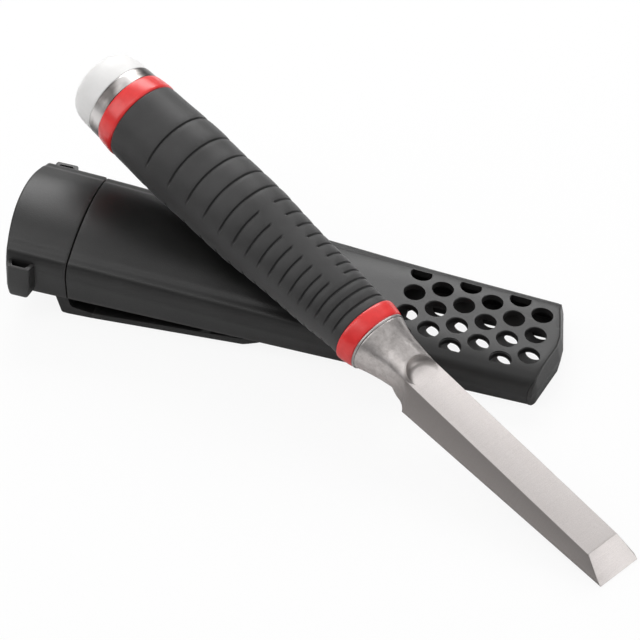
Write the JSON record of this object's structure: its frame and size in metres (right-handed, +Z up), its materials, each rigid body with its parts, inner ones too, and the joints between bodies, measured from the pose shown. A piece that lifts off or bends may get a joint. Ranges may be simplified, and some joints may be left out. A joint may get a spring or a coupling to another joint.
{
  "type": "striking chisel with belt holster",
  "caption": "Bevel-edge striking chisel with soft grip and domed steel cap, lying across its perforated moulded belt holster.",
  "frame": {"origin": "centre of the whole object's box, on the surface that the holster and the cutting edge rest on", "axes": "+X along the holster from its mouth to its tip (level), +Z up, +Y across the holster towards the striking cap's side"},
  "size_m": [0.242, 0.1478, 0.0688],
  "materials": {
    "blade_steel": "ground, satin",
    "washer_steel": "bright",
    "cap_steel": "polished",
    "red_ring": "satin",
    "core_plastic": "moulded",
    "grip_rubber": "soft satin",
    "holster_plastic": "fine moulded grain",
    "fastener_steel": "plated",
    "spring_steel": "rolled"
  },
  "bodies": {
    "holster": {"holster_shell": "holster_plastic", "holster_back": "holster_plastic", "mouth_collar": "holster_plastic", "tip_cap": "holster_plastic", "link_loop_near": "holster_plastic", "link_loop_far": "holster_plastic", "spring_rivet": "fastener_steel", "clip_foot": "holster_plastic", "clip_screws": "fastener_steel"},
    "chisel": {"blade": "blade_steel", "bolster_washer": "washer_steel", "front_ring": "red_ring", "handle_core": "core_plastic", "grip": "grip_rubber", "rear_ring": "red_ring", "striking_cap": "cap_steel"},
    "clip_arm": {"clip_arm": "holster_plastic"},
    "leaf_spring": {"retaining_spring": "spring_steel"}
  },
  "joints": [
    {"name": "chisel_lift", "type": "slide", "parent": "holster", "child": "chisel", "axis": [0, 0, 1], "range_m": [0, 0.12]},
    {"name": "clip_flex", "type": "hinge", "parent": "holster", "child": "clip_arm", "pos_m": [-0.08886, 0.02284, 0.00001], "axis": [0, 1, 0], "range_deg": [0, 6]},
    {"name": "spring_flex", "type": "hinge", "parent": "holster", "child": "leaf_spring", "pos_m": [-0.08456, 0.02284, 0.0259], "axis": [0, -1, 0], "range_deg": [0, 6]}
  ]
}
